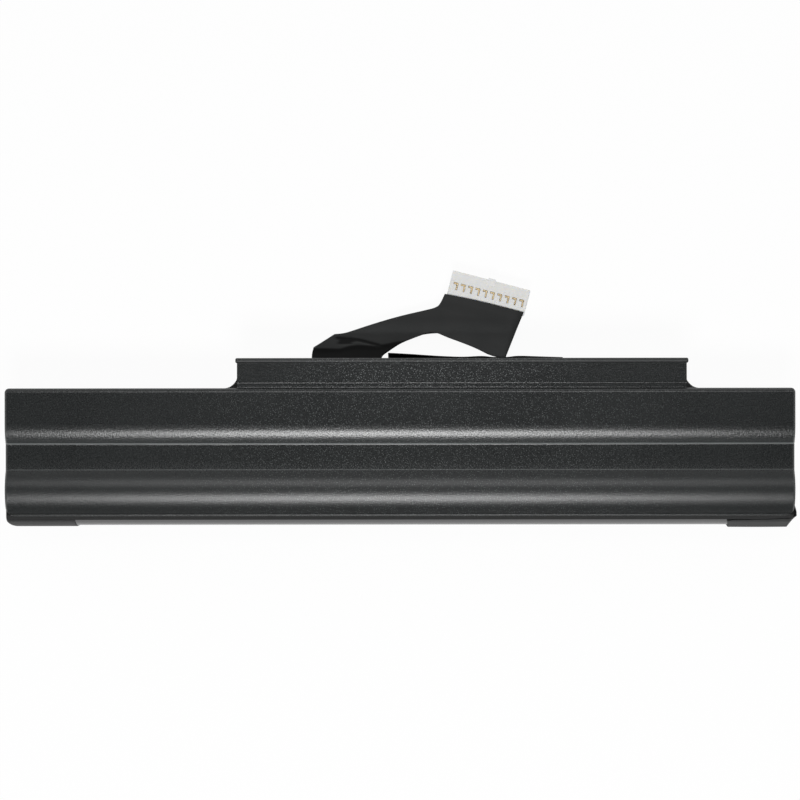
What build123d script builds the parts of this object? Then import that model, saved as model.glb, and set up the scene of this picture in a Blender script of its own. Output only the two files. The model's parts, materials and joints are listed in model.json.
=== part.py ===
import os
from math import acos, degrees, radians, sqrt, tan

from build123d import *

os.makedirs("parts", exist_ok=True)

# Laptop battery pack in millimetres. The origin is the middle of the flat base under the two cell rows,
# +X runs along the rows, +Y points to the tab that the lead leaves and +Z is up.

# Cells
cell_radius = 8.25
cell_length = 65.0
cell_base_bevel = 0.8
button_radius = 4.0
button_height = 0.7
crimp_depth = 0.5
crimp_from_rim = 3.6
crimp_width = 1.4
columns = 3
row_gap = 0.5
column_gap = 0.9
ring_inset = 0.75
ring_bore_clearance = 0.4
ring_thickness = 0.3

# Nickel strips and insulation
strip_thickness = 0.15
strip_width = 8.0
strip_lead_width = 3.0
strip_lead_drop = 2.5
strip_lead_wall_gap = 0.15
strip_lead_post_gap = 1.0
paper_thickness = 0.4
end_paper_thickness = 0.25
paper_margin = 0.4
pad_thickness = 2.3
pad_height = 12.0
pad_gap = 0.2

# Case
wall = 1.0
end_wall = 1.2
cell_fit = 0.2
cover_lap = 0.34
valley_half_width = 3.3
valley_crease_radius = 0.5
rim_bead_radius = 0.35
front_corner_radius = 2.4
rear_corner_radius = 1.2
rear_edge_radius = 1.1
cover_end_bevel = 0.5
base_front_radius = 2.5
base_edge_radius = 0.6
seam_height = 0.35
seam_inset = 0.4
lip_bevel_height = 0.95
cradle_height = 4.0
cradle_thickness = 1.2
cradle_fit = 0.1
cradle_spacing = 40.0

# Tab
tab_left = -42.3
tab_right = 74.4
tab_depth = 7.8
deck_drop = 0.9
gusset_radius = 3.6
deck_bead_radius = 0.65
deck_bead_overhang = 0.4
deck_bead_end_radius = 0.35
deck_groove_radius = 0.28
deck_groove_first = 0.2
deck_groove_pitch = 1.08

# Circuit board
board_thickness = 1.0
board_top_gap = 0.8
board_bottom_z = 4.4
board_behind_body = 1.05
board_end_gap = 0.3
post_length = 2.4
post_width = 3.2
post_top_z = 11.4
slot_fit = 0.15
part_row_z = 10.0
gauge_x = 12.0
gauge_size = (9.7, 4.4, 1.1)
switch_x = 34.0
switch_pitch = 8.0
switch_count = 2
switch_size = (5.0, 4.0, 1.6)
resistor_x = 53.0
resistor_size = (6.4, 3.2, 0.6)
fuse_x = 62.0
fuse_size = (5.0, 3.6, 1.2)
capacitor_x = -1.8
capacitor_pitch = 3.2
capacitor_row_pitch = 3.0
capacitor_column_count = 3
capacitor_row_count = 2
capacitor_size = (1.6, 0.8, 0.8)
thermistor_x = 8.0
thermistor_radius = 1.1
thermistor_length = 5.0
thermistor_bevel = 0.5
thermistor_fit = 0.1
thermistor_angle = 37.0
thermistor_leg_radius = 0.25
thermistor_leg_pitch = 2.0

# Connector
contact_count = 10
contact_pitch = 2.0
housing_end = 1.6
housing_depth = 7.0
housing_height = 4.6
housing_edge_radius = 0.25
housing_x = 23.55
housing_behind_tab = 17.44
housing_turn = -14.7
cavity_width = 1.5
cavity_height = 2.2
cavity_back_wall = 0.8
window_bar = (1.3, 0.55)
window_tick = (0.45, 1.7)
window_from_front = 3.2
latch_width = 2.0
latch_length = 1.6
latch_height = 0.35
latch_overhang = 0.4
contact_fit = 0.1
contact_setback = 0.8

# Lead: points are measured along X from the middle of its way out, and along Y from the tab's rear wall.
exit_x = -13.85
exit_width = 19.0
exit_clearance = 0.3
lead_band_width = 7.2
lead_band_thickness = 2.0
lead_points = [(-2.35, -7.05), (1.25, 2.85), (11.05, 6.95), (20.85, 9.95), (29.65, 9.45), (36.15, 13.95)]
root_points = [(-9.5, 2.2), (-3.6, 6.3), (0.9, 6.6), (11.3, 3.2)]
flag_points = [
    (20.2, 12.8), (23.4, 13.7), (25.4, 17.2), (40.0, 15.5), (46.4, 11.2),
    (42.2, 0.6), (38.9, 0.6), (28.5, 5.5), (22.4, 7.0),
]
flag_thickness = 1.6
tail_radius = 0.25
tail_sides = 6
tail_pitch = 0.7
tail_rise = 2.0

# Tapes
tape_thickness = 0.3
corner_tape_length = 17.6
corner_tape_return = 7.0
corner_tape_top_gap = 0.1
corner_tape_bottom_z = 3.5
loose_tape_gap = 0.5
tab_tape_left = -3.2
tab_tape_right = 42.2
tab_tape_wave = 19.0
tab_tape_bottom_z = 4.6
tab_tape_bulge = 1.2

# Sizes that follow from the ones above
row_pitch = 2 * cell_radius + row_gap
row_y = row_pitch / 2
row_axes = [-row_y, row_y]
column_pitch = cell_length + column_gap
column_x = [(i - (columns - 1) / 2) * column_pitch for i in range(columns)]
pack_half = (columns * cell_length + (columns - 1) * column_gap) / 2
end_stack = strip_thickness + end_paper_thickness + pad_thickness + pad_gap
inner_half = pack_half + end_stack
body_half = inner_half + end_wall
channel_radius = cell_radius + cell_fit
crest_radius = channel_radius + wall
axis_z = wall + channel_radius
height = axis_z + crest_radius
valley_reach = row_y - valley_half_width
valley_z = axis_z + sqrt(crest_radius**2 - valley_reach**2)
inner_valley_z = valley_z - wall
seam_z = inner_valley_z - cover_lap
rim_z = seam_z - seam_height
cover_depth = height - seam_z
body_back = row_y + crest_radius
inner_back = body_back - wall
front_rim = -row_y - sqrt(crest_radius**2 - (seam_z - axis_z) ** 2)
rim_bead_z = seam_z + rim_bead_radius
rim_bead_y = -row_y - sqrt(crest_radius**2 - (rim_bead_z - axis_z) ** 2)
lip_z = rim_z - lip_bevel_height
lip_y = -row_y - sqrt(crest_radius**2 - (lip_z - axis_z) ** 2)
tab_back = body_back + tab_depth
tab_length = tab_right - tab_left
tab_middle = (tab_left + tab_right) / 2
deck_z = height - deck_drop
board_height = seam_z - board_top_gap - board_bottom_z
board_front = body_back + board_behind_body
board_back = board_front + board_thickness
board_middle = (board_front + board_back) / 2
board_length = tab_length - 2 * wall - 2 * board_end_gap
board_left = tab_middle - board_length / 2
board_right = tab_middle + board_length / 2
strip_lead_back = inner_back - strip_lead_wall_gap
strip_lead_z = seam_z - strip_lead_drop
strip_lead_inset = post_length + strip_lead_post_gap
lead_z = housing_height / 2
lead_bottom_z = lead_z - lead_band_thickness / 2
lead_top_z = lead_z + lead_band_thickness / 2
housing_length = (contact_count - 1) * contact_pitch + 2 * housing_end
housing_place = Location((housing_x, tab_back + housing_behind_tab, 0), (0, 0, housing_turn))


def arc_angle(radius, rise):
    return degrees(acos(rise / radius))


def from_exit(points):
    return [(exit_x + x, tab_back + y) for x, y in points]


# Top cover: a lid that follows the two cell rows, squared off at the rear, with the tab's deck behind it.
seam_tilt = arc_angle(crest_radius, seam_z - axis_z)
valley_tilt = arc_angle(crest_radius, valley_z - axis_z)
inner_seam_tilt = arc_angle(channel_radius, seam_z - axis_z)
inner_valley_tilt = arc_angle(channel_radius, inner_valley_z - axis_z)

# Bead for the deck's rear edge, with rounded ends
with BuildPart() as deck_bead:
    with Locations(Location((tab_middle, tab_back - deck_bead_radius, deck_z), (0, 90, 0))):
        Cylinder(deck_bead_radius, tab_length + 2 * deck_bead_overhang)
    fillet(deck_bead.edges().filter_by(GeomType.CIRCLE), deck_bead_end_radius)

with BuildPart() as top_cover:
    with BuildSketch(Plane.YZ) as cover_section:
        with BuildLine():
            front_crest = CenterArc((-row_y, axis_z), crest_radius, 90 + seam_tilt, -seam_tilt - valley_tilt)
            rear_crest = CenterArc((row_y, axis_z), crest_radius, 90 + valley_tilt, -valley_tilt)
            Line(front_crest @ 1, rear_crest @ 0)
            Polyline(rear_crest @ 1, (body_back, height), (body_back, seam_z), front_crest @ 0)
        make_face()
        fillet(cover_section.vertices().sort_by_distance((0, valley_z))[:2], valley_crease_radius)
    extrude(amount=body_half, both=True)
    rear_top_edge = top_cover.edges().filter_by(Axis.X).group_by(Axis.Z)[-1].sort_by(Axis.Y)[-1]
    fillet(rear_top_edge, rear_edge_radius)
    end_edges = top_cover.faces().filter_by(Axis.X).edges().filter_by(Axis.Z, reverse=True)
    chamfer(end_edges.filter_by(lambda e: e.center().Z > seam_z), cover_end_bevel)
    # A rounded bead runs along the front rim.
    with Locations(Location((0, rim_bead_y, rim_bead_z), (0, 90, 0))):
        Cylinder(rim_bead_radius, 2 * body_half)
    with BuildSketch(Plane.XY.offset(seam_z)) as cover_plan:
        with Locations((0, body_back)):
            Rectangle(2 * body_half, body_back - front_rim, align=(Align.CENTER, Align.MAX))
        fillet(cover_plan.vertices().group_by(Axis.Y)[0], front_corner_radius)
        fillet(cover_plan.vertices().group_by(Axis.Y)[-1], rear_corner_radius)
    extrude(amount=cover_depth, mode=Mode.INTERSECT)
    with BuildSketch(Plane.XY.offset(seam_z)):
        with Locations((tab_middle, tab_back)):
            Rectangle(tab_length, tab_depth + wall, align=(Align.CENTER, Align.MAX))
    extrude(amount=deck_z - seam_z)
    # The bead along the deck's rear edge stands out a little at both ends.
    add(deck_bead.part)
    # Two fine grooves part the deck from the body.
    with BuildSketch(Plane.YZ.offset(tab_left)):
        for i in range(2):
            with Locations((body_back + deck_groove_first + i * deck_groove_pitch, deck_z)):
                Circle(deck_groove_radius)
    extrude(amount=tab_length, mode=Mode.SUBTRACT)
    # Cell channels and the hollow of the tab
    with BuildSketch(Plane.YZ):
        with BuildLine():
            front_channel = CenterArc(
                (-row_y, axis_z), channel_radius, 90 + inner_seam_tilt, -inner_seam_tilt - inner_valley_tilt
            )
            rear_channel = CenterArc(
                (row_y, axis_z), channel_radius, 90 + inner_valley_tilt, -inner_valley_tilt
            )
            Line(front_channel @ 1, rear_channel @ 0)
            Polyline(rear_channel @ 1, (inner_back, height - wall), (inner_back, seam_z), front_channel @ 0)
        make_face()
    extrude(amount=inner_half, both=True, mode=Mode.SUBTRACT)
    with BuildSketch(Plane.XY.offset(seam_z)):
        with Locations((tab_middle, tab_back - wall)):
            Rectangle(tab_length - 2 * wall, tab_depth, align=(Align.CENTER, Align.MAX))
    extrude(amount=deck_z - wall - seam_z, mode=Mode.SUBTRACT)
top_cover.part.label = "top_cover"
export_step(top_cover.part, "parts/top_cover.step")


# Outer form of the tray without its tab, grown on all sides for what wraps round it
def tray_form(grow):
    radius = crest_radius + grow
    tilt = arc_angle(radius, seam_z - axis_z)
    with BuildPart() as form:
        with BuildSketch(Plane.YZ) as section:
            with BuildLine():
                flank = CenterArc((-row_y, axis_z), radius, 90 + tilt, 90 - tilt)
                Polyline(flank @ 1, (-row_y - radius, 0), (body_back, 0), (body_back, seam_z), flank @ 0)
            make_face()
            fillet(section.vertices().group_by(Axis.Y)[0].sort_by(Axis.X)[0], base_front_radius)
        extrude(amount=body_half + grow, both=True)
        with BuildSketch(Plane.XY) as plan:
            depth = 2 * row_y + crest_radius + radius
            with Locations((0, body_back)):
                Rectangle(2 * (body_half + grow), depth, align=(Align.CENTER, Align.MAX))
            fillet(plan.vertices().group_by(Axis.Y)[0], front_corner_radius + grow)
        extrude(amount=seam_z, mode=Mode.INTERSECT)
        with BuildSketch(Plane.XZ) as profile:
            Rectangle(2 * (body_half + grow), seam_z, align=(Align.CENTER, Align.MIN))
            fillet(profile.vertices().group_by(Axis.Y)[0], base_edge_radius)
        extrude(amount=2 * body_back, both=True, mode=Mode.INTERSECT)
    return form.part


# Bottom tray: the deep half, round at the front along the cells, flat underneath, with cradles and posts.
with BuildPart() as bottom_tray:
    add(tray_form(0))
    with BuildSketch(Plane.XY):
        with Locations((tab_middle, tab_back)):
            Rectangle(tab_length, tab_depth + wall, align=(Align.CENTER, Align.MAX))
    extrude(amount=seam_z)
    upright_edges = bottom_tray.edges().filter_by(Axis.Z)
    inner_corners = upright_edges.filter_by(
        lambda e: abs(e.center().Y - body_back) < wall / 2 and abs(e.center().X) < body_half - wall
    )
    fillet(inner_corners, gusset_radius)
    fillet(bottom_tray.edges().filter_by(Axis.Z).group_by(Axis.Y)[-1], rear_corner_radius)
    base_edges = bottom_tray.faces().sort_by(Axis.Z)[0].edges()
    fillet(base_edges.filter_by(lambda e: e.center().Y > inner_back), base_edge_radius)
    # The rear corners are rounded like the cover's.
    corner_x = body_half - rear_corner_radius
    corner_y = body_back - rear_corner_radius
    with BuildSketch(Plane.XY):
        with Locations((-body_half, body_back), (body_half, body_back)):
            Rectangle(2 * rear_corner_radius, 2 * rear_corner_radius)
        with Locations((-corner_x, corner_y), (corner_x, corner_y)):
            Circle(rear_corner_radius, mode=Mode.SUBTRACT)
    extrude(amount=seam_z, mode=Mode.SUBTRACT)
    # The rim is set back all round, so that a fine shadow line shows under the cover.
    with BuildSketch(Plane.XY.offset(rim_z)):
        Rectangle(2 * (body_half + wall), 2 * (tab_back + wall))
        with Locations((0, (front_rim + body_back) / 2)):
            Rectangle(
                2 * (body_half - seam_inset), body_back - front_rim - 2 * seam_inset, mode=Mode.SUBTRACT
            )
        with Locations((tab_middle, tab_back - seam_inset)):
            Rectangle(
                tab_length - 2 * seam_inset, tab_depth, align=(Align.CENTER, Align.MAX), mode=Mode.SUBTRACT
            )
        with Locations((tab_left, body_back), (tab_right, body_back)):
            Circle(gusset_radius / 2, mode=Mode.SUBTRACT)
    extrude(amount=seam_height, mode=Mode.SUBTRACT)
    # The front lip is bevelled off from under the cover's rim.
    with BuildSketch(Plane.YZ):
        with BuildLine():
            Polyline(
                (front_rim + seam_inset / 2, rim_z),
                (lip_y, lip_z),
                (lip_y - wall, lip_z),
                (lip_y - wall, rim_z),
                close=True,
            )
        make_face()
    extrude(amount=body_half, both=True, mode=Mode.SUBTRACT)
    # Hollow for the cells and for the board
    with BuildSketch(Plane.YZ) as tray_hollow:
        with BuildLine():
            inner_flank = CenterArc(
                (-row_y, axis_z), channel_radius, 90 + inner_seam_tilt, 90 - inner_seam_tilt
            )
            Polyline(
                inner_flank @ 1,
                (-inner_back, wall),
                (inner_back, wall),
                (inner_back, seam_z),
                inner_flank @ 0,
            )
        make_face()
        fillet(tray_hollow.vertices().group_by(Axis.Y)[0].sort_by(Axis.X)[0], base_front_radius - wall)
    extrude(amount=inner_half, both=True, mode=Mode.SUBTRACT)
    with BuildSketch(Plane.XY.offset(wall)):
        with Locations((tab_middle, tab_back - wall)):
            Rectangle(tab_length - 2 * wall, tab_depth, align=(Align.CENTER, Align.MAX))
    extrude(amount=seam_z - wall, mode=Mode.SUBTRACT)
    # Two cradles under each column hold the cells off the floor.
    for x in column_x:
        for side in (-1, 1):
            with BuildSketch(Plane.YZ.offset(x + side * cradle_spacing / 2 - cradle_thickness / 2)):
                with Locations((0, wall + cradle_height / 2)):
                    Rectangle(2 * inner_back, cradle_height)
                with Locations(*[(y, axis_z) for y in row_axes]):
                    Circle(cell_radius + cradle_fit, mode=Mode.SUBTRACT)
            extrude(amount=cradle_thickness)
    # Slotted posts at the tab's ends hold the board upright.
    for side, end in ((1, tab_left + wall), (-1, tab_right - wall)):
        post_x = end + side * post_length / 2
        with BuildSketch(Plane.XY.offset(wall)):
            with Locations((post_x, board_middle)):
                Rectangle(post_length, post_width)
        extrude(amount=post_top_z - wall)
        with BuildSketch(Plane.XY.offset(board_bottom_z)):
            with Locations((post_x, board_middle)):
                Rectangle(post_length, board_thickness + 2 * slot_fit)
        extrude(amount=post_top_z - board_bottom_z, mode=Mode.SUBTRACT)
    # Way out of the lead, low in the tab's rear wall
    with BuildSketch(Plane.XZ.offset(-tab_back)):
        with Locations((exit_x, lead_z)):
            Rectangle(exit_width + 2 * exit_clearance, lead_band_thickness + 2 * exit_clearance)
    extrude(amount=wall, mode=Mode.SUBTRACT)
bottom_tray.part.label = "bottom_tray"
export_step(bottom_tray.part, "parts/bottom_tray.step")

# Cells: a steel can with a crimp under the rim and a button at the positive end, turned about its own axis.
rim_x = cell_length / 2 - button_height
crimp_x = rim_x - crimp_from_rim
with BuildPart() as cell:
    with BuildSketch(Plane.XY):
        with BuildLine():
            Polyline(
                (-cell_length / 2, 0),
                (-cell_length / 2, cell_radius - cell_base_bevel),
                (-cell_length / 2 + cell_base_bevel, cell_radius),
                (crimp_x - crimp_width, cell_radius),
                (crimp_x - crimp_width / 2, cell_radius - crimp_depth),
                (crimp_x, cell_radius),
                (rim_x, cell_radius),
                (rim_x, button_radius),
                (cell_length / 2, button_radius),
                (cell_length / 2, 0),
                close=True,
            )
        make_face()
    revolve(axis=Axis.X)
for number, (x, y) in enumerate([(x, y) for y in row_axes for x in column_x], start=1):
    placed_cell = cell.part.moved(Location((x, y, axis_z)))
    placed_cell.label = f"cell_{number}"
    export_step(placed_cell, f"parts/cell_{number}.step")

# Paper rings round the buttons
with BuildPart() as positive_rings:
    for x in column_x:
        with BuildSketch(Plane.YZ.offset(x + cell_length / 2 - button_height)):
            with Locations(*[(y, axis_z) for y in row_axes]):
                Circle(cell_radius - ring_inset)
                Circle(button_radius + ring_bore_clearance, mode=Mode.SUBTRACT)
        extrude(amount=ring_thickness)
positive_rings.part.label = "positive_rings"
export_step(positive_rings.part, "parts/positive_rings.step")


# Nickel strips: one across each end of the pack, with a lead along the rear wall to the board.
def strip_leaf(x):
    with BuildSketch(Plane.YZ.offset(x)) as leaf:
        with Locations((0, axis_z)):
            SlotCenterToCenter(row_pitch, strip_width)
        with Locations(((row_y + strip_lead_back) / 2, strip_lead_z)):
            Rectangle(strip_lead_back - row_y, strip_lead_width)
    extrude(leaf.sketch, amount=strip_thickness)


def strip_lead(x_from, x_to, y_from, y_to):
    with BuildSketch(Plane.XY.offset(strip_lead_z - strip_lead_width / 2)) as run:
        with Locations(((x_from + x_to) / 2, (y_from + y_to) / 2)):
            Rectangle(x_to - x_from, y_to - y_from)
    extrude(run.sketch, amount=strip_lead_width)


with BuildPart() as negative_strip:
    strip_leaf(-pack_half - strip_thickness)
    turn_x = board_left + strip_lead_inset
    strip_lead(-pack_half - strip_thickness, turn_x, strip_lead_back - strip_thickness, strip_lead_back)
    strip_lead(turn_x - strip_thickness, turn_x, strip_lead_back - strip_thickness, board_front)
negative_strip.part.label = "negative_strip"
export_step(negative_strip.part, "parts/negative_strip.step")

with BuildPart() as positive_strip:
    strip_leaf(pack_half)
    turn_x = board_right - strip_lead_inset
    strip_lead(turn_x, pack_half + strip_thickness, strip_lead_back - strip_thickness, strip_lead_back)
    strip_lead(turn_x, turn_x + strip_thickness, strip_lead_back - strip_thickness, board_front)
positive_strip.part.label = "positive_strip"
export_step(positive_strip.part, "parts/positive_strip.step")

# Links: two leaves folded together at the rear, with a tail to the board and a paper between the leaves.
for number in range(1, columns):
    gap_left = column_x[number - 1] + cell_length / 2
    gap_right = gap_left + column_gap
    with BuildPart() as tap_strip:
        strip_leaf(gap_left)
        strip_leaf(gap_right - strip_thickness)
        strip_lead(gap_left, gap_right, strip_lead_back - strip_thickness, strip_lead_back)
        strip_lead(gap_left, gap_left + strip_thickness, strip_lead_back - strip_thickness, board_front)
    tap_strip.part.label = f"tap_strip_{number}"
    export_step(tap_strip.part, f"parts/tap_strip_{number}.step")
    with BuildPart() as column_paper:
        with BuildSketch(Plane.YZ.offset((gap_left + gap_right - paper_thickness) / 2)):
            with Locations((0, axis_z)):
                Rectangle(row_pitch, strip_width + 2 * paper_margin)
            with Locations(*[(y, axis_z) for y in row_axes]):
                Circle(cell_radius - paper_margin)
        extrude(amount=paper_thickness)
    column_paper.part.label = f"column_paper_{number}"
    export_step(column_paper.part, f"parts/column_paper_{number}.step")

# Papers over the end strips, then a foam pad against each end wall
for side, name in ((-1, "left"), (1, "right")):
    paper_x = pack_half + strip_thickness + end_paper_thickness / 2
    pad_x = pack_half + strip_thickness + end_paper_thickness + pad_thickness / 2
    with BuildPart() as end_paper:
        with BuildSketch(Plane.YZ.offset(side * paper_x - end_paper_thickness / 2)):
            with Locations((0, axis_z)):
                Rectangle(row_pitch, strip_width + 2 * paper_margin)
            with Locations(*[(y, axis_z) for y in row_axes]):
                Circle(cell_radius - paper_margin)
        extrude(amount=end_paper_thickness)
    end_paper.part.label = f"end_paper_{name}"
    export_step(end_paper.part, f"parts/end_paper_{name}.step")
    with BuildPart() as end_pad:
        with BuildSketch(Plane.YZ.offset(side * pad_x - pad_thickness / 2)):
            with Locations((0, axis_z)):
                SlotCenterToCenter(row_pitch, pad_height)
        extrude(amount=pad_thickness)
    end_pad.part.label = f"end_pad_{name}"
    export_step(end_pad.part, f"parts/end_pad_{name}.step")

# Circuit board, standing in its posts, and the parts on its rear face
with BuildPart() as circuit_board:
    with Locations((tab_middle, board_middle, board_bottom_z + board_height / 2)):
        Box(board_length, board_thickness, board_height)
circuit_board.part.label = "circuit_board"
export_step(circuit_board.part, "parts/circuit_board.step")

with BuildPart() as gauge_chip:
    with Locations((gauge_x, board_back + gauge_size[2] / 2, part_row_z)):
        Box(gauge_size[0], gauge_size[2], gauge_size[1])
gauge_chip.part.label = "gauge_chip"
export_step(gauge_chip.part, "parts/gauge_chip.step")

with BuildPart() as power_switches:
    for i in range(switch_count):
        with Locations((switch_x + i * switch_pitch, board_back + switch_size[2] / 2, part_row_z)):
            Box(switch_size[0], switch_size[2], switch_size[1])
power_switches.part.label = "power_switches"
export_step(power_switches.part, "parts/power_switches.step")

with BuildPart() as sense_resistor:
    with Locations((resistor_x, board_back + resistor_size[2] / 2, part_row_z)):
        Box(resistor_size[0], resistor_size[2], resistor_size[1])
sense_resistor.part.label = "sense_resistor"
export_step(sense_resistor.part, "parts/sense_resistor.step")

with BuildPart() as safety_fuse:
    with Locations((fuse_x, board_back + fuse_size[2] / 2, part_row_z)):
        Box(fuse_size[0], fuse_size[2], fuse_size[1])
safety_fuse.part.label = "safety_fuse"
export_step(safety_fuse.part, "parts/safety_fuse.step")

with BuildPart() as chip_capacitors:
    with BuildSketch(Plane.XZ.offset(-board_back)):
        with Locations((capacitor_x, part_row_z)):
            with GridLocations(
                capacitor_pitch, capacitor_row_pitch, capacitor_column_count, capacitor_row_count
            ):
                Rectangle(capacitor_size[0], capacitor_size[1])
    extrude(amount=-capacitor_size[2])
chip_capacitors.part.label = "chip_capacitors"
export_step(chip_capacitors.part, "parts/chip_capacitors.step")

# Thermistor: a bead against a middle cell of the rear row, with two legs to the board.
bead_reach = cell_radius + thermistor_fit + thermistor_radius
bead_spot = Vector(thermistor_x, row_y, axis_z) + Vector(0, bead_reach, 0).rotate(Axis.X, thermistor_angle)
with BuildPart() as thermistor:
    with Locations(Location(bead_spot, (0, 90, 0))):
        Cylinder(thermistor_radius, thermistor_length)
    chamfer(thermistor.edges().filter_by(GeomType.CIRCLE), thermistor_bevel)
    with BuildSketch(Plane.XZ.offset(-bead_spot.Y)):
        with Locations((thermistor_x, bead_spot.Z)):
            with GridLocations(thermistor_leg_pitch, 0, 2, 1):
                Circle(thermistor_leg_radius)
    extrude(amount=bead_spot.Y - board_front)
thermistor.part.label = "thermistor"
export_step(thermistor.part, "parts/thermistor.step")

# Lead: a flat taped bundle from under the board, out of the tab's rear wall and round to the connector.
lead_route = [Vector(x, y, lead_z) for x, y in from_exit(lead_points)]
runs = [b - a for a, b in zip(lead_route, lead_route[1:])]
lead_radii = [
    0.45 * min(a.length, b.length) / tan(radians(a.get_angle(b) / 2)) for a, b in zip(runs, runs[1:])
]
print("lead radii", [round(r, 1) for r in lead_radii])

with BuildPart() as lead_band:
    with BuildLine():
        lead_path = FilletPolyline(*lead_route, radius=lead_radii)
    with BuildSketch(Plane(lead_path @ 0, x_dir=(0, 0, 1), z_dir=lead_path % 0)):
        Rectangle(lead_band_thickness, lead_band_width)
    sweep()
    swept_volume = lead_band_thickness * lead_band_width * lead_path.length
    print("lead length", round(lead_path.length, 2))
    print("lead volume over section times length", round(lead_band.part.volume / swept_volume, 4))
    # The band ends flush on the connector's rear face.
    with Locations(housing_place):
        Box(housing_length, housing_depth, 2 * housing_height, mode=Mode.SUBTRACT)
lead_band.part.label = "lead_band"
export_step(lead_band.part, "parts/lead_band.step")

# Tape over the lead's root, as wide as its way out, and the fan of tape at the connector
with BuildPart() as lead_root:
    with BuildSketch(Plane.XY.offset(lead_bottom_z)):
        with BuildLine():
            root_left = (exit_x - exit_width / 2, tab_back)
            root_right = (exit_x + exit_width / 2, tab_back)
            Polyline(root_left, *from_exit(root_points), root_right, close=True)
        make_face()
    extrude(amount=lead_band_thickness)
    add(lead_band.part, mode=Mode.SUBTRACT)
lead_root.part.label = "lead_root"
export_step(lead_root.part, "parts/lead_root.step")

with BuildPart() as lead_flag:
    with BuildSketch(Plane.XY.offset(lead_z - flag_thickness / 2)):
        with BuildLine():
            Polyline(*from_exit(flag_points), close=True)
        make_face()
    extrude(amount=flag_thickness)
    add(lead_band.part, mode=Mode.SUBTRACT)
    with Locations(housing_place):
        Box(2 * housing_length, housing_depth, 2 * housing_height, mode=Mode.SUBTRACT)
lead_flag.part.label = "lead_flag"
export_step(lead_flag.part, "parts/lead_flag.step")

# Bare wire tails from the band up to the board's rear face
tail_y = board_back + tail_radius
tail_x = lead_route[0].X + (tail_y - lead_route[0].Y) * runs[0].X / runs[0].Y
with BuildPart() as wire_tails:
    with BuildSketch(Plane.XY.offset(lead_top_z)):
        with Locations((tail_x, tail_y)):
            with GridLocations(tail_pitch, 0, contact_count, 1):
                RegularPolygon(tail_radius, tail_sides)
    extrude(amount=board_bottom_z + tail_rise - lead_top_z)
wire_tails.part.label = "wire_tails"
export_step(wire_tails.part, "parts/wire_tails.step")

# Connector housing: one cavity for each way, an angled window over each contact and a latch in front.
way_x = [(i - (contact_count - 1) / 2) * contact_pitch for i in range(contact_count)]
tick_x = [x + (window_bar[0] - window_tick[0]) / 2 for x in way_x]
front_y = housing_depth / 2
window_y = front_y - window_from_front
with BuildPart() as connector_housing:
    with Locations((0, 0, housing_height / 2)):
        Box(housing_length, housing_depth, housing_height)
    fillet(connector_housing.edges(), housing_edge_radius)
    with BuildSketch(Plane.XZ.offset(-front_y)):
        with Locations(*[(x, housing_height / 2) for x in way_x]):
            Rectangle(cavity_width, cavity_height)
    extrude(amount=housing_depth - cavity_back_wall, mode=Mode.SUBTRACT)
    with BuildSketch(Plane.XY.offset(housing_height)):
        with Locations(*[(x, window_y) for x in way_x]):
            Rectangle(*window_bar)
        with Locations(*[(x, window_y) for x in tick_x]):
            Rectangle(*window_tick, align=(Align.CENTER, Align.MAX))
    extrude(amount=-(housing_height - cavity_height) / 2, mode=Mode.SUBTRACT)
    with BuildSketch(Plane.YZ.offset(-latch_width / 2)):
        with BuildLine():
            Polyline(
                (front_y - latch_length, housing_height),
                (front_y, housing_height + latch_height),
                (front_y + latch_overhang, housing_height + latch_height),
                (front_y + latch_overhang, housing_height - latch_overhang),
                (front_y - housing_edge_radius, housing_height - latch_overhang),
                close=True,
            )
        make_face()
    extrude(amount=latch_width)
placed_housing = connector_housing.part.moved(housing_place)
placed_housing.label = "connector_housing"
export_step(placed_housing, "parts/connector_housing.step")

# Brass contacts: a sleeve in each cavity, with a raised tongue that fills the window.
contact_length = housing_depth - cavity_back_wall - contact_setback - contact_fit
contact_y = front_y - contact_setback - contact_length / 2
bar_size = (window_bar[0] - 2 * contact_fit, window_bar[1] - 2 * contact_fit)
tick_size = (window_tick[0] - 2 * contact_fit, window_tick[1] - 2 * contact_fit)
with BuildPart() as connector_contacts:
    with Locations(*[(x, contact_y, housing_height / 2) for x in way_x]):
        Box(cavity_width - 2 * contact_fit, contact_length, cavity_height - 2 * contact_fit)
    with BuildSketch(Plane.XY.offset(housing_height / 2)):
        with Locations(*[(x, window_y) for x in way_x]):
            Rectangle(*bar_size)
        with Locations(*[(x, window_y - contact_fit) for x in tick_x]):
            Rectangle(*tick_size, align=(Align.CENTER, Align.MAX))
    extrude(amount=housing_height / 2 - 2 * contact_fit)
placed_contacts = connector_contacts.part.moved(housing_place)
placed_contacts.label = "connector_contacts"
export_step(placed_contacts, "parts/connector_contacts.step")

# Corner tapes: each covers the front flank at one end and turns round the corner onto the end wall.
tape_top_z = lip_z - corner_tape_top_gap
tape_end = body_half - corner_tape_length
for side, name, gap in ((-1, "left", 0.0), (1, "right", loose_tape_gap)):
    inside = tray_form(gap)
    outward = Align.MAX if side < 0 else Align.MIN
    with BuildPart() as corner_tape:
        add(tray_form(gap + tape_thickness))
        add(inside, mode=Mode.SUBTRACT)
        with Locations((side * tape_end, -body_back + corner_tape_return, tape_top_z)):
            Box(
                2 * corner_tape_length,
                2 * corner_tape_return,
                tape_top_z - corner_tape_bottom_z,
                align=(outward, Align.MAX, Align.MAX),
                mode=Mode.INTERSECT,
            )
    corner_tape.part.label = f"corner_tape_{name}"
    export_step(corner_tape.part, f"parts/corner_tape_{name}.step")

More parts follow.
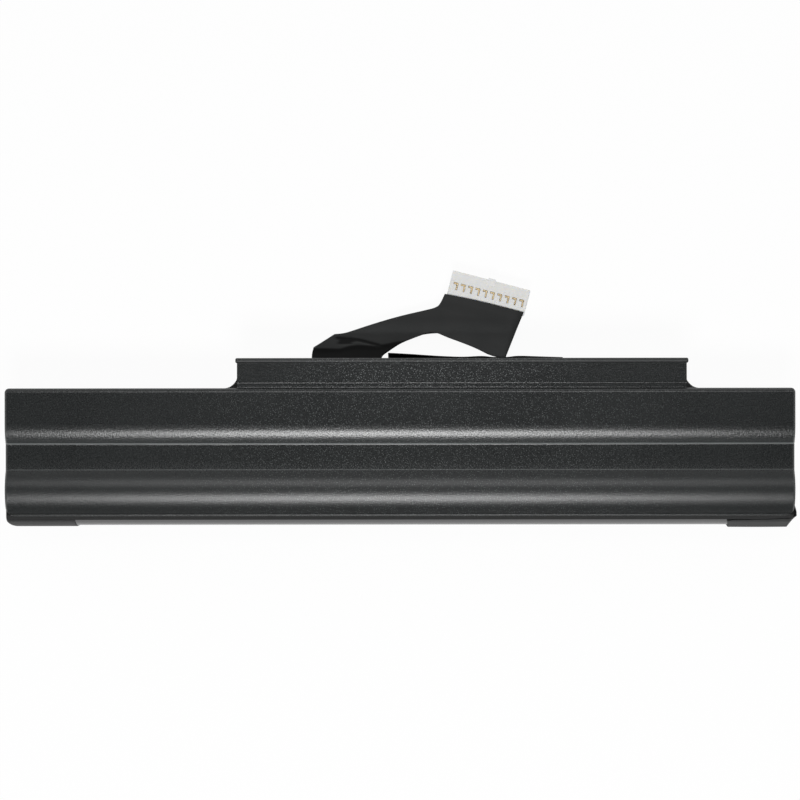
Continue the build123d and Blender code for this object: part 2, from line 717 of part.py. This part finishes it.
# Tape on the tab's rear wall, lifted off in a shallow wave beside the lead
tape_middle = (tab_tape_left + tab_tape_right) / 2
with BuildPart() as tab_tape:
    with BuildSketch(Plane.XY.offset(tab_tape_bottom_z)):
        with BuildLine():
            wave = Spline(
                (tab_tape_left, tab_back + tab_tape_bulge),
                (tape_middle - tab_tape_wave / 2, tab_back + tape_thickness),
                (tape_middle + tab_tape_wave / 2, tab_back + tab_tape_bulge / 2),
                (tab_tape_right, tab_back + tape_thickness),
            )
            Polyline(wave @ 1, (tab_tape_right, tab_back), (tab_tape_left, tab_back), wave @ 0)
        make_face()
    extrude(amount=rim_z - tab_tape_bottom_z)
tab_tape.part.label = "tab_tape"
export_step(tab_tape.part, "parts/tab_tape.step")
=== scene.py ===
import json
from math import radians

import bmesh
import bpy
from mathutils import Matrix, Vector, noise
from mathutils.geometry import intersect_point_line


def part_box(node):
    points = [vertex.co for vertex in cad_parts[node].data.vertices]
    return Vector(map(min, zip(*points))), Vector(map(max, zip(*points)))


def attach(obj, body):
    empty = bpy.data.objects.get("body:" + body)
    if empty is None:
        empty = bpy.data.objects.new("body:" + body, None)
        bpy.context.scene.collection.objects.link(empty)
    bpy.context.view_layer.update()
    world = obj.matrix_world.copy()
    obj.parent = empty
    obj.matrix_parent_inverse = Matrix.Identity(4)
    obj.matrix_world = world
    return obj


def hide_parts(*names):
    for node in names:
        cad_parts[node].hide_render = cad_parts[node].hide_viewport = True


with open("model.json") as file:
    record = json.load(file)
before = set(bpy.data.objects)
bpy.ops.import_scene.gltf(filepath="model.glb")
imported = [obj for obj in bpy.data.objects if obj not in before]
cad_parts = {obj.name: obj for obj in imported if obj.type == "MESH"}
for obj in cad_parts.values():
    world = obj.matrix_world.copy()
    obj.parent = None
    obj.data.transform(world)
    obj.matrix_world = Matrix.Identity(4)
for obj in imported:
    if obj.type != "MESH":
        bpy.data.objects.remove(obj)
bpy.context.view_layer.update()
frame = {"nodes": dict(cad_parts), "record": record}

mm = 0.001
nodes = frame["nodes"]
scene = bpy.context.scene
scene.view_settings.view_transform = "Standard"
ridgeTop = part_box("top_cover")[1].z
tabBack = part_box("bottom_tray")[1].y
print("frame loaded:", len(nodes), "pieces, ridge tops at", round(ridgeTop / mm, 2), "mm")


# Camera, straight above the pack, with the rear of the pack at the top of the picture
cameraSet = {
    "pixels": 800,
    "pixelSize": 0.259 * mm,  # on the plane of the ridge tops
    "aimY": 14.84 * mm,
    "height": 580 * mm,  # above the ridge tops
    "sensor": 36.0,
    "roll": -0.06,  # degrees
}


def placeCamera(settings):
    eye = bpy.data.cameras.new("camera")
    eye.sensor_width = settings["sensor"]
    eye.lens = settings["sensor"] * settings["height"] / (settings["pixels"] * settings["pixelSize"])
    eye.clip_start = 10 * mm
    eye.clip_end = 20.0
    holder = bpy.data.objects.new("camera", eye)
    holder.location = (0, settings["aimY"], ridgeTop + settings["height"])
    holder.rotation_euler = (0, 0, radians(settings["roll"]))
    scene.collection.objects.link(holder)
    scene.camera = holder


placeCamera(cameraSet)
print("camera placed")


# Shader maths: a signal is a socket that can be added to, multiplied and so on
class Signal:
    def __init__(self, finish, socket):
        self.finish = finish
        self.socket = socket

    def join(self, operation, first, second):
        return self.finish.add("ShaderNodeMath", {"operation": operation}, {0: first, 1: second})

    def __add__(self, other):
        return self.join("ADD", self, other)

    def __radd__(self, other):
        return self.join("ADD", other, self)

    def __sub__(self, other):
        return self.join("SUBTRACT", self, other)

    def __rsub__(self, other):
        return self.join("SUBTRACT", other, self)

    def __mul__(self, other):
        return self.join("MULTIPLY", self, other)

    def __rmul__(self, other):
        return self.join("MULTIPLY", other, self)


class Finish:
    def __init__(self, name, tree=None):
        self.material = None
        if tree is None:
            self.material = bpy.data.materials.new(name)
            self.material.use_nodes = True
            tree = self.material.node_tree
        self.tree = tree
        self.tree.nodes.clear()

    def add(self, kind, settings=None, inputs=None, output=0):
        node = self.tree.nodes.new(kind)
        for name, value in (settings or {}).items():
            setattr(node, name, value)
        for name, value in (inputs or {}).items():
            if isinstance(value, Signal):
                self.tree.links.new(value.socket, node.inputs[name])
            else:
                node.inputs[name].default_value = value
        return Signal(self, node.outputs[output]) if len(node.outputs) else None

    def place(self):
        return self.add("ShaderNodeTexCoord", output=3)  # object coordinates, in metres

    def along(self, axis):
        return self.add("ShaderNodeSeparateXYZ", {}, {0: self.place()}, "XYZ".index(axis))

    def noise(self, size, detail=2.0, stretch=(1, 1, 1)):
        place = self.place()
        if stretch != (1, 1, 1):
            place = self.add("ShaderNodeMapping", {}, {"Vector": place, "Scale": stretch})
        return self.add("ShaderNodeTexNoise", {}, {"Vector": place, "Scale": 1 / size, "Detail": detail})

    def cells(self, size):
        return self.add("ShaderNodeTexVoronoi", {}, {"Vector": self.place(), "Scale": 1 / size})

    def mix(self, factor, first, second):
        return self.add("ShaderNodeMix", {"data_type": "RGBA"}, {0: factor, 6: first, 7: second}, 2)

    def span(self, value, low, high, toLow=0.0, toHigh=1.0):
        return self.add(
            "ShaderNodeMapRange",
            {"interpolation_type": "SMOOTHSTEP"},
            {"Value": value, "From Min": low, "From Max": high, "To Min": toLow, "To Max": toHigh},
        )

    def bump(self, height, distance, under=None):
        inputs = {"Height": height, "Distance": distance, "Strength": 1.0}
        if under is not None:
            inputs["Normal"] = under
        return self.add("ShaderNodeBump", {}, inputs)

    def surface(self, sockets):
        shader = self.add("ShaderNodeBsdfPrincipled", {}, sockets)
        self.add("ShaderNodeOutputMaterial", {}, {"Surface": shader})
        return self.material


def grey(level, tint=(1, 1, 1)):
    return (level * tint[0], level * tint[1], level * tint[2], 1)


# Studio: white floor, a white backdrop behind the pack in a dark room, and two soft lamps overhead
studioSet = {
    "floorSize": 8.0,
    "floorColour": 0.9,
    "floorGlow": 0.95,  # share of plain white in the floor that is seen or mirrored
    "backdrop": 0.85,
    "room": 0.05,
    "haze": 0.55,  # the room's brightness low down, all round
    "backdropTop": (0.35, 0.97),  # rise of a direction where the backdrop starts and stops fading
    "backdropSide": (0.0, 0.55),  # the same towards the rear
    "hazeTop": (0.0, 0.45),
    "lamps": {
        "frontLamp": {"at": (-12, -345, 625), "size": (270, 180), "watts": 3.3},
        "rearLamp": {"at": (0, 225, 620), "size": (420, 160), "watts": 0.9},
    },
    "lampAim": (-8, -2, 18),
}


def makeStudio(settings):
    bm = bmesh.new()
    bmesh.ops.create_grid(bm, x_segments=1, y_segments=1, size=settings["floorSize"] / 2)
    mesh = bpy.data.meshes.new("floor")
    bm.to_mesh(mesh)
    bm.free()
    floor = bpy.data.objects.new("floor", mesh)
    scene.collection.objects.link(floor)
    finish = Finish("floorWhite")
    rays = [finish.add("ShaderNodeLightPath", output=name) for name in ("Is Camera Ray", "Is Glossy Ray")]
    seen = rays[0] + rays[1] + finish.add("ShaderNodeLightPath", output="Is Transmission Ray")
    matt = finish.add("ShaderNodeBsdfDiffuse", {}, {"Color": grey(settings["floorColour"])})
    glow = finish.add("ShaderNodeEmission", {}, {"Color": grey(1.0), "Strength": 1.0})
    both = finish.add("ShaderNodeMixShader", {}, {0: seen * settings["floorGlow"], 1: matt, 2: glow})
    finish.add("ShaderNodeOutputMaterial", {}, {"Surface": both})
    mesh.materials.append(finish.material)

    sky = bpy.data.worlds.new("studio")
    sky.use_nodes = True
    scene.world = sky
    air = Finish("studio", sky.node_tree)
    way = air.add("ShaderNodeTexCoord", output=0)
    rise = air.add("ShaderNodeSeparateXYZ", {}, {0: way}, 2)
    rearward = air.add("ShaderNodeSeparateXYZ", {}, {0: way}, 1)
    white = air.span(rise, *settings["backdropTop"], 1.0, 0.0) * air.span(rearward, *settings["backdropSide"])
    low = air.span(rise, *settings["hazeTop"], 1.0, 0.0)
    level = settings["room"] + settings["haze"] * low + (settings["backdrop"] - settings["room"]) * white
    light = air.add("ShaderNodeBackground", {}, {"Color": grey(1.0), "Strength": level})
    air.add("ShaderNodeOutputWorld", {}, {"Surface": light})

    for name, lamp in settings["lamps"].items():
        data = bpy.data.lights.new(name, "AREA")
        data.shape = "RECTANGLE"
        data.size = lamp["size"][0] * mm
        data.size_y = lamp["size"][1] * mm
        data.energy = lamp["watts"]
        holder = bpy.data.objects.new(name, data)
        holder.location = Vector(lamp["at"]) * mm
        aim = Vector(settings["lampAim"]) * mm - holder.location
        holder.rotation_euler = aim.to_track_quat("-Z", "Y").to_euler()
        scene.collection.objects.link(holder)


makeStudio(studioSet)
print("studio lit")


# Finishes
coverSet = {
    "grain": 0.3,
    "sparks": 0.42,
    "cloud": 26,
    "sparkleAt": 8,  # the X where the grain's specks are painted palest: painted sparkle where the front lamp falls
    # how far from there the painted sparkle starts and stops fading, and how pale a speck is at each
    "bodySparkle": (15, 75, 0.48, 0.12),
    "tabSparkle": (5, 46, 0.95, 0.1),
    "tabRoot": (17.9, 18.5),  # the Y from the body's painted sparkle to the tab's
    "frontRidge": (-6, 0),
    "frontDull": 0.085,  # roughness added on the front ridge
    "bead": (24.2, 24.7),
    "beadDull": 0.25,  # roughness added on the bead along the tab
    # painted highlight bands along the pack, at the two creases and the rear ridge's foot: the Y where each
    # starts, is full, starts to fade and ends, and its strength
    "creaseHighlights": {
        "rearCreaseHighlight": (3.3, 3.45, 3.55, 3.8, 0.75),
        "rearFootHighlight": (3.6, 3.8, 4.3, 5.2, 0.09),
        "frontCreaseHighlight": (-3.45, -3.3, -3.15, -3.0, 0.12),
    },
}


def coverPlastic(settings):
    finish = Finish("coverPlastic")
    grain = finish.noise(settings["grain"] * mm, 2.0)
    sparks = finish.cells(settings["sparks"] * mm)
    cloud = finish.noise(settings["cloud"] * mm, 2.0)
    x = finish.along("X") - settings["sparkleAt"] * mm
    y = finish.along("Y")

    def sparkleFade(near, far, most, least):
        return finish.span(x * x, (near * mm) ** 2, (far * mm) ** 2, most, least)

    def across(start, end, toLow=0.0, toHigh=1.0):
        return finish.span(y, start * mm, end * mm, toLow, toHigh)

    # grain specks with painted sparkle: palest near the lamp's middle, fading towards the ends, strongest on
    # the tab deck
    onBody = sparkleFade(*settings["bodySparkle"])
    sparkleShare = onBody + across(*settings["tabRoot"]) * (sparkleFade(*settings["tabSparkle"]) - onBody)
    specks = finish.span(sparks, 0.12, 0.3, 1.0, 0.0) * sparkleShare
    dull = settings["frontDull"] * across(*settings["frontRidge"], 1.0, 0.0)
    rubbed = settings["beadDull"] * across(*settings["bead"])
    tone = specks + 0.053 * finish.span(grain + 0.3 * (cloud - 0.5), 0.2, 0.8)
    # painted highlights: pale bands where the creases and the rear ridge's foot catch the lamps
    for start, full, fade, end, strength in settings["creaseHighlights"].values():
        tone = tone + strength * (across(start, full) * across(fade, end, 1.0, 0.0))
    return finish.surface({
        "Base Color": finish.mix(tone, (0.0078, 0.0092, 0.0094, 1), (0.22, 0.235, 0.235, 1)),
        "Roughness": 0.16 + 0.16 * grain + dull + rubbed,
        "Specular IOR Level": 0.5,
        "Normal": finish.bump(grain + 0.5 * sparks, 0.030 * mm),
    })


def trayPlastic():
    finish = Finish("trayPlastic")
    skin = finish.noise(1.6 * mm, 3.0)
    cloud = finish.noise(30 * mm, 2.0)
    return finish.surface({
        # black plastic with its base set extra dark: painted shade for the gussets under the cover's corners
        "Base Color": finish.mix(cloud, (0.0020, 0.0023, 0.0023, 1), (0.0040, 0.0044, 0.0044, 1)),
        "Roughness": 0.16 + 0.14 * skin,
        "Specular IOR Level": 1.0,
        "Normal": finish.bump(skin, 0.02 * mm),
    })


def tapeFilm(name, dark, light, rough, relief, shine):
    finish = Finish(name)
    film = finish.noise(0.5 * mm, 3.0)
    creases = finish.noise(4.5 * mm, 3.0, (0.4, 1.8, 1))
    cloud = finish.noise(9 * mm, 2.0)
    # painted shade of the lead's film, read from a point attribute: under its crease, along its folds, and
    # evening out the pack's shadow
    paintedShade = finish.add("ShaderNodeAttribute", {"attribute_name": "paintedShade"}, {}, "Fac")
    first, second = grey(dark, (0.96, 1.0, 1.0)), grey(light, (0.98, 1.0, 1.0))
    tone = finish.mix(finish.span(cloud, 0.3, 0.7), first, second)
    return finish.surface({
        "Base Color": finish.mix(paintedShade, tone, grey(0.004)),
        "Roughness": rough + 0.12 * film,
        "Specular IOR Level": shine,
        "Normal": finish.bump(film, 0.006 * mm, finish.bump(creases, relief)),
    })


def connectorNylon():
    finish = Finish("connectorNylon")
    skin = finish.noise(0.8 * mm, 3.0)
    cloud = finish.noise(5 * mm, 2.0)
    return finish.surface({
        "Base Color": finish.mix(cloud, (0.70, 0.70, 0.69, 1), (0.79, 0.79, 0.775, 1)),
        "Roughness": 0.38 + 0.15 * skin,
        "Subsurface Weight": 0.25,
        "Subsurface Radius": (0.0012, 0.0010, 0.0007),
        "Subsurface Scale": 1.0,
        "Normal": finish.bump(skin, 0.01 * mm),
    })


def contactBrass():
    finish = Finish("contactBrass")
    tarnish = finish.span(finish.noise(0.7 * mm, 3.0), 0.35, 0.7)
    return finish.surface({
        "Base Color": finish.mix(tarnish, (0.85, 0.68, 0.42, 1), (0.60, 0.46, 0.26, 1)),
        "Metallic": 1.0,
        "Roughness": 0.26 + 0.2 * tarnish,
    })


def innerFinish(name, first, second, size, rough, metallic=0.0, relief=0.01 * mm, stretch=(1, 1, 1)):
    finish = Finish(name)
    mottle = finish.noise(size, 4.0, stretch)
    return finish.surface({
        "Base Color": finish.mix(finish.span(mottle, 0.3, 0.7), (*first, 1), (*second, 1)),
        "Metallic": metallic,
        "Roughness": rough + 0.12 * mottle,
        "Normal": finish.bump(mottle, relief),
    })


finishes = {
    "cover_plastic": coverPlastic(coverSet),
    "tray_plastic": trayPlastic(),
    "tape": tapeFilm("tape", 0.012, 0.020, 0.48, 0.08 * mm, 0.45),
    # tab tape base near black: painted shade of the tab's rear wall, which faces away from the front lamp
    "tab_tape": tapeFilm("tabTape", 0.003, 0.006, 0.5, 0.05 * mm, 0.3),
    # the lead film's base is set light to lift its part in the pack's shadow (painted light); its painted
    # shade darkens the rest back
    "lead_tape": tapeFilm("leadTape", 0.072, 0.080, 0.60, 0.05 * mm, 0.1),
    "connector_nylon": connectorNylon(),
    "contact_brass": contactBrass(),
    "cell_sleeve": innerFinish("cellSleeve", (0.05, 0.22, 0.20), (0.07, 0.27, 0.25), 8 * mm, 0.25),
    "nickel": innerFinish(
        "nickel", (0.62, 0.60, 0.56), (0.72, 0.70, 0.66), 0.6 * mm, 0.28, 1.0, stretch=(0.1, 1, 1)
    ),
    "paper": innerFinish("paper", (0.42, 0.36, 0.26), (0.52, 0.46, 0.35), 0.5 * mm, 0.75, relief=0.03 * mm),
    "foam": innerFinish("foam", (0.03, 0.03, 0.032), (0.07, 0.07, 0.075), 0.4 * mm, 0.85, relief=0.1 * mm),
    "board_laminate": innerFinish("boardLaminate", (0.01, 0.12, 0.05), (0.02, 0.17, 0.08), 0.7 * mm, 0.35),
    "chip_resin": innerFinish("chipResin", (0.012, 0.012, 0.013), (0.022, 0.022, 0.023), 0.3 * mm, 0.5),
    "chip_ceramic": innerFinish("chipCeramic", (0.40, 0.28, 0.16), (0.50, 0.37, 0.23), 0.4 * mm, 0.4),
    "bead_resin": innerFinish("beadResin", (0.02, 0.02, 0.03), (0.04, 0.04, 0.05), 0.4 * mm, 0.3),
    "tinned_wire": innerFinish("tinnedWire", (0.60, 0.60, 0.60), (0.75, 0.75, 0.74), 0.3 * mm, 0.3, 1.0),
}
print("finishes made:", len(finishes))

for subpart in frame["record"]["subparts"]:
    shown = nodes[subpart["node"]]
    shown.data.materials.clear()
    shown.data.materials.append(finishes[subpart["material_slot"]])


# Lead: a flat taped bundle. The band is the cord, and one tape lies over it from the tab to the connector
leadSet = {
    "route": [(-16.2, 18.7), (-12.6, 28.6), (-2.8, 32.7), (7.0, 35.7), (15.8, 35.2), (22.3, 39.7)],
    "middle": 2.3,  # height of the band's middle over the floor
    "width": 7.2,
    "bodyWidth": 5.8,  # the wires in the tape's middle, under its edges
    "thickness": 1.9,
    "edge": 0.9,
    "exit": (-13.85, 25.75, 2.3),
    "length": 47.0,
}
leadTapeSet = {
    # the tape's two long edges, from the tab to the connector; a point given twice is a corner
    "rearEdge": [
        (-23.4, 25.3), (-23.6, 26.6), (-23.0, 28.9), (-23.0, 28.9), (-20.1, 30.7), (-17.4, 32.4),
        (-17.4, 32.4), (-14.8, 32.6), (-12.0, 33.5), (-6.4, 35.35), (0.0, 37.2), (6.4, 38.65),
        (10.0, 39.5), (11.0, 41.0), (11.9, 43.0), (11.9, 43.0), (22.2, 40.95), (32.85, 38.1),
    ],
    "frontEdge": [
        (-5.0, 25.3), (-4.9, 26.2), (-4.3, 26.9), (-3.4, 27.5), (-2.4, 28.2), (-1.2, 29.0), (0.0, 29.75),
        (1.6, 30.5), (3.3, 31.15), (5.4, 31.95), (7.3, 32.6), (8.8, 32.9), (10.3, 32.5), (12.6, 31.45),
        (16.5, 30.05), (20.5, 28.45), (24.8, 26.15), (28.05, 26.0),
    ],
    "top": 3.6,
    "rim": 3.55,
    "tip": (-15.0, 8.0, 0.8),  # the folded end slopes down: from this X, over this length, by this much
    "crease": [
        (-24.0, 29.15), (-19.5, 29.1), (-16.0, 29.0), (-14.6, 29.4), (-13.2, 29.8), (-11.0, 30.0),
        (-7.2, 29.8), (-4.5, 30.1), (-2.0, 30.6), (0.5, 31.0), (2.5, 31.1),
    ],
    "under": (0.25, 2.0),  # how far the tape drops under the crease, and how soon
    "folds": [  # short lines that the film is pinched along
        ((-16.7, 31.3), (-14.3, 31.1)), ((-16.2, 30.0), (-13.1, 30.1)), ((-15.9, 30.6), (-12.3, 30.6)),
        ((-13.8, 31.1), (-10.6, 30.7)), ((-10.6, 30.7), (-5.5, 29.4)),
    ],
    "pinch": {"reach": 0.7, "depth": 0.15, "full": 0.2},  # full: the share of a fold's reach at full depth
    "fall": (0.3, 0.75),  # shares of the band's width between which the film falls from its top to its rim
    "shade": {  # painted shade on the film: how dark it gets, and from where to where
        "under": (0.83, 0.05, 0.8),
        "pinched": 0.79,
        "flag": (0.66, 31, 37),
        "strip": (0.2, 8, 16),
    },
    "ripples": ((12.0, 3.2, 0.05), (2.6, 1.1, 0.02)),  # length, width and height
    "thickness": 0.3,
    "cuts": 30,
    "resolution": 8,
}
# The connector's place, where the tape's end climbs onto it
housingSet = {
    "middle": (23.55, 43.19),
    "turn": -14.7,
    "depth": 7.0,
    "top": 4.6,
    "ramp": (4.5, 0.1),  # how far before the rear face the climb starts and ends
    "clear": 0.03,  # gap between the connector's top and the film
}


def readLine(points, resolution=12):
    # points along the NURBS spline whose control points these are
    curve = bpy.data.curves.new("route", "CURVE")
    curve.dimensions = "3D"
    curve.resolution_u = resolution
    spline = curve.splines.new("NURBS")
    spline.points.add(len(points) - 1)
    for knot, point in zip(spline.points, points):
        knot.co = (*point, 1)
    spline.order_u = 3
    spline.use_endpoint_u = True
    holder = bpy.data.objects.new("route", curve)
    mesh = bpy.data.meshes.new_from_object(holder)
    line = [v.co.copy() for v in mesh.vertices]
    bpy.data.objects.remove(holder)
    bpy.data.curves.remove(curve)
    bpy.data.meshes.remove(mesh)
    return line


def flat(points, height):
    return [Vector((x, y, height)) * mm for x, y in points]


def addPiece(name, bm, slotName, finishName, *replaced):
    bmesh.ops.recalc_face_normals(bm, faces=bm.faces)
    for face in bm.faces:
        face.smooth = True
    mesh = bpy.data.meshes.new(name)
    bm.to_mesh(mesh)
    bm.free()
    mesh.materials.append(finishes[finishName])
    piece = bpy.data.objects.new(name, mesh)
    scene.collection.objects.link(piece)
    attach(piece, "root")
    if replaced:
        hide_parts(*replaced)
    return piece


def skin(rails, outward):
    # one sheet over lines of as many points, facing outward; also gives the edges from line to line
    bm = bmesh.new()
    rows = []
    for rail in rails:
        chain = [bm.verts.new(point) for point in rail]
        rows.append([bm.edges.new(pair) for pair in zip(chain, chain[1:])])
    for upper, lower in zip(rows, rows[1:]):
        bmesh.ops.bridge_loops(bm, edges=upper + lower)
    bmesh.ops.recalc_face_normals(bm, faces=bm.faces)
    if sum(face.normal.dot(Vector(outward)) for face in bm.faces) < 0:
        bmesh.ops.reverse_faces(bm, faces=bm.faces)
    along = {edge for row in rows for edge in row}
    return bm, [edge for edge in bm.edges if edge not in along]


def ease(value, low, high):
    t = min(max((value - low) / (high - low), 0.0), 1.0)
    return t * t * (3 - 2 * t)


def sweepBand(settings, line):
    bm = bmesh.new()
    bmesh.ops.create_grid(bm, x_segments=1, y_segments=1, size=0.5)
    bmesh.ops.scale(bm, vec=(settings["bodyWidth"] * mm, settings["thickness"] * mm, 1), verts=bm.verts)
    bmesh.ops.bevel(
        bm,
        geom=bm.verts[:],
        offset=settings["edge"] * mm,
        affect="VERTICES",
        segments=4,
        profile=0.5,
        material=-1,
    )
    frames = []
    for i, point in enumerate(line):
        ahead = (line[min(i + 1, len(line) - 1)] - line[max(i - 1, 0)]).normalized()
        side = ahead.cross(Vector((0, 0, 1))).normalized()
        turn = Matrix((side, side.cross(ahead) * -1, ahead)).transposed().to_4x4()
        frames.append(Matrix.Translation(point) @ turn)
    bmesh.ops.transform(bm, matrix=frames[0], verts=bm.verts)
    face = bm.faces[:][0]
    for before, after in zip(frames, frames[1:]):
        grown = bmesh.ops.extrude_face_region(bm, geom=[face])["geom"]
        face = [part for part in grown if isinstance(part, bmesh.types.BMFace)][0]
        bmesh.ops.transform(bm, matrix=after @ before.inverted(), verts=face.verts[:])
    return bm


def underCrease(settings, x, y):
    # how far a spot lies on the tab's side of the crease
    for (x0, y0), (x1, y1) in zip(settings["crease"], settings["crease"][1:]):
        if x0 <= x <= x1:
            return y0 + (y1 - y0) * (x - x0) / (x1 - x0) - y
    return -1e3


def inFold(settings, x, y):
    # 1 on a fold's line, falling to 0 at its reach
    spot = Vector((x, y))
    reach = settings["pinch"]["reach"]
    gaps = []
    for start, end in settings["folds"]:
        start, end = Vector(start), Vector(end)
        share = intersect_point_line(spot, start, end)[1]
        gaps.append((spot - start.lerp(end, min(max(share, 0.0), 1.0))).length)
    return 1 - ease(min(gaps), settings["pinch"]["full"] * reach, reach)


def ontoHousing(settings, x, y):
    # 0 well before the connector's rear face, 1 over the connector
    spot = Matrix.Rotation(radians(-settings["turn"]), 2) @ (Vector((x, y)) - Vector(settings["middle"]))
    start, end = settings["ramp"]
    return ease(spot.y + settings["depth"] / 2, -start, -end)


def shapeLeadTape(settings, line, width):
    edges = [flat(settings[name], settings["top"]) for name in ("rearEdge", "frontEdge")]
    bm, across = skin([readLine(edge, settings["resolution"]) for edge in edges], (0, 0, 1))
    bmesh.ops.subdivide_edges(bm, edges=across, cuts=settings["cuts"], use_grid_fill=True)
    tipX, tipLength, tipDrop = settings["tip"]
    drop, soon = settings["under"]
    fallFrom, fallTo = [share * width for share in settings["fall"]]
    for v in bm.verts:
        x, y = v.co.x / mm, v.co.y / mm
        off = min((v.co - p).xy.length for p in line) / mm
        rise = settings["top"] + (settings["rim"] - settings["top"]) * ease(off, fallFrom, fallTo)
        rise -= tipDrop * ease(tipX - x, 0.0, tipLength)
        rise -= settings["pinch"]["depth"] * inFold(settings, x, y)
        rise -= drop * ease(underCrease(settings, x, y), 0.0, soon)
        for length, breadth, height in settings["ripples"]:
            rise += height * noise.noise(Vector((x / length, y / breadth, length)))
        climb = ontoHousing(housingSet, x, y)
        rise += (housingSet["top"] + settings["thickness"] + housingSet["clear"] - rise) * climb
        v.co.z = rise * mm
    bmesh.ops.solidify(bm, geom=bm.faces[:], thickness=settings["thickness"] * mm)
    return bm


def makeLead():
    line = readLine(flat(leadSet["route"], leadSet["middle"]))
    band = addPiece("leadBand", sweepBand(leadSet, line), "tape", "lead_tape", "lead_band")
    sheet = shapeLeadTape(leadTapeSet, line, leadSet["bodyWidth"])
    tape = addPiece("leadTape", sheet, "tape", "lead_tape", "lead_root", "lead_flag")
    paintedShade = tape.data.attributes.new("paintedShade", "FLOAT", "POINT")
    shade = leadTapeSet["shade"]
    underShade, underFrom, underTo = shade["under"]
    flagShade, flagFrom, flagTo = shade["flag"]
    stripShade, stripFrom, stripTo = shade["strip"]
    for i, v in enumerate(tape.data.vertices):
        x, y = v.co.x / mm, v.co.y / mm
        # painted shade under the crease, where the film drops into the tab's shade, and along the pinched
        # folds
        under = underShade * ease(underCrease(leadTapeSet, x, y), underFrom, underTo)
        pinched = shade["pinched"] * inFold(leadTapeSet, x, y)
        flag = flagShade * ease(y, flagFrom, flagTo)  # painted shade: darker towards the connector, evening out the front lamp's light beyond the pack's shadow
        # painted shade on the band left of X 8 to 16 mm, in the pack's shadow
        strip = stripShade * (1 - ease(x, stripFrom, stripTo))
        paintedShade.data[i].value = max(under, pinched, flag, strip)


makeLead()
print("lead laid")


# Tape on the tab's rear wall, stuck at the foot and lifting off along its top edge
tabTapeSet = {
    # along X, and how far the top edge stands off the wall
    "lift": [
        (-3.1, 1.2), (2.0, 0.95), (8.0, 0.5), (13.0, 0.22), (17.0, 0.12), (21.5, 0.42),
        (24.0, 0.06), (28.2, 0.06), (30.5, 0.45), (36.0, 0.22), (42.4, 0.03),
    ],
    "stuck": 0.03,
    "top": 15.6,
    "bottom": 4.6,
    "curl": 0.6,
    "thickness": 0.2,
    "cuts": 14,
}


def makeTabTape(settings):
    wall = tabBack / mm + settings["thickness"]
    stuck = wall + settings["stuck"]
    top = [Vector((x, wall + lift, settings["top"])) * mm for x, lift in settings["lift"]]
    foot = [Vector((x, stuck, settings["bottom"])) * mm for x, lift in settings["lift"]]
    bm, across = skin([readLine(top), readLine(foot)], (0, 1, 0))
    bmesh.ops.subdivide_edges(bm, edges=across, cuts=settings["cuts"], use_grid_fill=True)
    for v in bm.verts:
        share = (v.co.z / mm - settings["bottom"]) / (settings["top"] - settings["bottom"])
        v.co.y = stuck * mm + (v.co.y - stuck * mm) * max(share, 0.0) ** settings["curl"]
    bmesh.ops.solidify(bm, geom=bm.faces[:], thickness=settings["thickness"] * mm)
    addPiece("tabTape", bm, "tape", "tab_tape", "tab_tape")


makeTabTape(tabTapeSet)


# Loose tape at the right front corner: lines along its outside from the top edge down, each from the tape's
# left end, round the corner and onto the end wall
looseTapeSet = {
    "rails": [
        [(85.3, -16.75, 14.5), (93.0, -16.6, 14.7), (101.5, -16.3, 15.0), (101.5, -16.3, 15.0),
         (103.4, -15.4, 15.0), (103.4, -15.4, 15.0), (103.4, -14.0, 14.9), (102.8, -12.3, 14.7)],
        [(85.4, -17.1, 14.0), (93.0, -17.05, 14.1), (101.7, -16.95, 14.3), (101.7, -16.95, 14.3),
         (103.5, -15.5, 14.4), (103.5, -15.5, 14.4), (103.45, -14.0, 14.4), (102.8, -12.3, 14.3)],
        [(86.0, -18.55, 11.0), (93.0, -18.6, 11.0), (101.4, -18.55, 11.0), (101.4, -18.55, 11.0),
         (103.6, -15.8, 11.2), (103.6, -15.8, 11.2), (103.45, -14.2, 11.2), (102.8, -12.3, 11.0)],
        [(86.3, -18.5, 7.5), (93.0, -18.65, 7.5), (101.6, -18.6, 7.5), (101.6, -18.6, 7.5),
         (103.6, -16.0, 7.5), (103.6, -16.0, 7.5), (103.45, -14.2, 7.5), (102.8, -12.3, 7.5)],
        [(86.5, -18.25, 3.5), (93.0, -18.4, 3.5), (101.6, -18.4, 3.5), (101.6, -18.4, 3.5),
         (103.3, -16.1, 3.5), (103.3, -16.1, 3.5), (103.2, -14.2, 3.5), (102.8, -12.3, 3.5)],
    ],
    "thickness": 0.22,
    "resolution": 6,
    "cuts": 4,
}


def makeLooseTape(settings):
    rails = [readLine([Vector(p) * mm for p in rail], settings["resolution"]) for rail in settings["rails"]]
    bm, across = skin(rails, (0.5, -1, 0))
    bmesh.ops.subdivide_edges(bm, edges=across, cuts=settings["cuts"], use_grid_fill=True)
    bmesh.ops.solidify(bm, geom=bm.faces[:], thickness=settings["thickness"] * mm)
    addPiece("looseTape", bm, "tape", "tape", "corner_tape_right")


makeLooseTape(looseTapeSet)
print("tapes stuck on")
